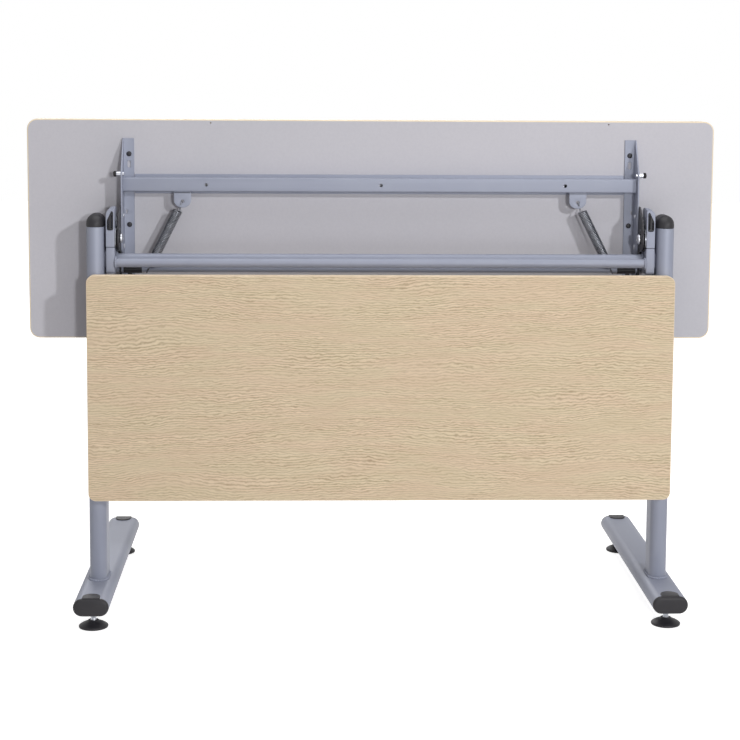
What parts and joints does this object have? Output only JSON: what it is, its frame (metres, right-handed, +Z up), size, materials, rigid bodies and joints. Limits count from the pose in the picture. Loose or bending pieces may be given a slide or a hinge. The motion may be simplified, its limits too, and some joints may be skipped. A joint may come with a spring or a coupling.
{
  "type": "folding writing desk",
  "caption": "Folding writing desk on a grey steel frame, shown folded: the flip-up wood-laminate top hangs behind the columns, with a modesty panel, springs, a lock rod and levelling glides.",
  "frame": {"origin": "on the floor under the middle of the folded desk: the middle of its box in X and Y, glide pads at Z = 0", "axes": "+X along the desk to the right as its audience sees it, +Y from the audience side to the user side, +Z up"},
  "size_m": [1.2, 0.55, 0.857],
  "materials": {
    "chipboard": "raw chipboard core, hidden",
    "oak_laminate": "light oak laminate, fine horizontal grain, matte",
    "grey_sheet": "pale warm-grey backing sheet, matte",
    "cream_edge": "cream plastic edge band, satin",
    "light_edge": "light oak plastic edge band, satin",
    "grey_powder_coat": "silver-grey powder coat, satin",
    "black_steel": "black painted steel plate, satin",
    "dark_steel": "dark oiled spring steel",
    "zinc_plated_steel": "bright zinc plate",
    "black_plastic": "black moulded plastic, satin",
    "black_rubber": "black rubber, matte"
  },
  "bodies": {
    "base": {"left_column": "grey_powder_coat", "right_column": "grey_powder_coat", "left_column_cap": "black_plastic", "right_column_cap": "black_plastic", "front_beam": "grey_powder_coat", "rear_beam": "grey_powder_coat", "left_hinge_post": "grey_powder_coat", "right_hinge_post": "grey_powder_coat", "left_hinge_head": "grey_powder_coat", "right_hinge_head": "grey_powder_coat", "left_head_insert": "black_plastic", "right_head_insert": "black_plastic", "left_lock_plate": "dark_steel", "right_lock_plate": "dark_steel", "left_pivot_bolt": "zinc_plated_steel", "right_pivot_bolt": "zinc_plated_steel", "lock_plate_screws": "zinc_plated_steel", "modesty_panel": "oak_laminate", "panel_edge_band": "light_edge", "panel_spacers": "black_plastic", "panel_screws": "zinc_plated_steel", "left_foot": "grey_powder_coat", "right_foot": "grey_powder_coat", "left_front_foot_cap": "black_plastic", "left_rear_foot_cap": "black_plastic", "right_front_foot_cap": "black_plastic", "right_rear_foot_cap": "black_plastic", "glide_sleeves": "zinc_plated_steel", "glide_lock_nuts": "zinc_plated_steel"},
    "top": {"tabletop_core": "chipboard", "tabletop_laminate": "oak_laminate", "tabletop_backer": "grey_sheet", "tabletop_edge_band": "cream_edge", "left_arm": "grey_powder_coat", "right_arm": "grey_powder_coat", "cross_rail": "grey_powder_coat", "left_spring_tab": "grey_powder_coat", "right_spring_tab": "grey_powder_coat", "left_pivot_plate": "black_steel", "right_pivot_plate": "black_steel", "pivot_bushes": "black_plastic", "stop_pins": "zinc_plated_steel", "plate_rivets": "zinc_plated_steel", "arm_screws": "dark_steel", "rail_screws": "zinc_plated_steel", "bumper_studs": "zinc_plated_steel", "bumper_tips": "black_rubber", "left_spring": "dark_steel", "right_spring": "dark_steel"},
    "lock": {"lock_rod": "grey_powder_coat", "rod_sleeves": "black_plastic"},
    "left_front_glide": {"left_front_glide_pad": "black_plastic", "left_front_glide_stem": "zinc_plated_steel"},
    "left_rear_glide": {"left_rear_glide_pad": "black_plastic", "left_rear_glide_stem": "zinc_plated_steel"},
    "right_front_glide": {"right_front_glide_pad": "black_plastic", "right_front_glide_stem": "zinc_plated_steel"},
    "right_rear_glide": {"right_rear_glide_pad": "black_plastic", "right_rear_glide_stem": "zinc_plated_steel"}
  },
  "joints": [
    {"name": "top_flip", "type": "hinge", "parent": "base", "child": "top", "pos_m": [0.014, -0.135, 0.655], "axis": [1, 0, 0], "range_deg": [0, 90]},
    {"name": "lock_slide", "type": "slide", "parent": "top", "child": "lock", "axis": [0, 0, 1], "range_m": [0, 0.012], "deforming": ["left_spring", "right_spring"]},
    {"name": "left_front_level", "type": "slide", "parent": "base", "child": "left_front_glide", "axis": [0, 0, -1], "range_m": [0, 0.008]},
    {"name": "left_rear_level", "type": "slide", "parent": "base", "child": "left_rear_glide", "axis": [0, 0, -1], "range_m": [0, 0.008]},
    {"name": "right_front_level", "type": "slide", "parent": "base", "child": "right_front_glide", "axis": [0, 0, -1], "range_m": [0, 0.008]},
    {"name": "right_rear_level", "type": "slide", "parent": "base", "child": "right_rear_glide", "axis": [0, 0, -1], "range_m": [0, 0.008]}
  ]
}
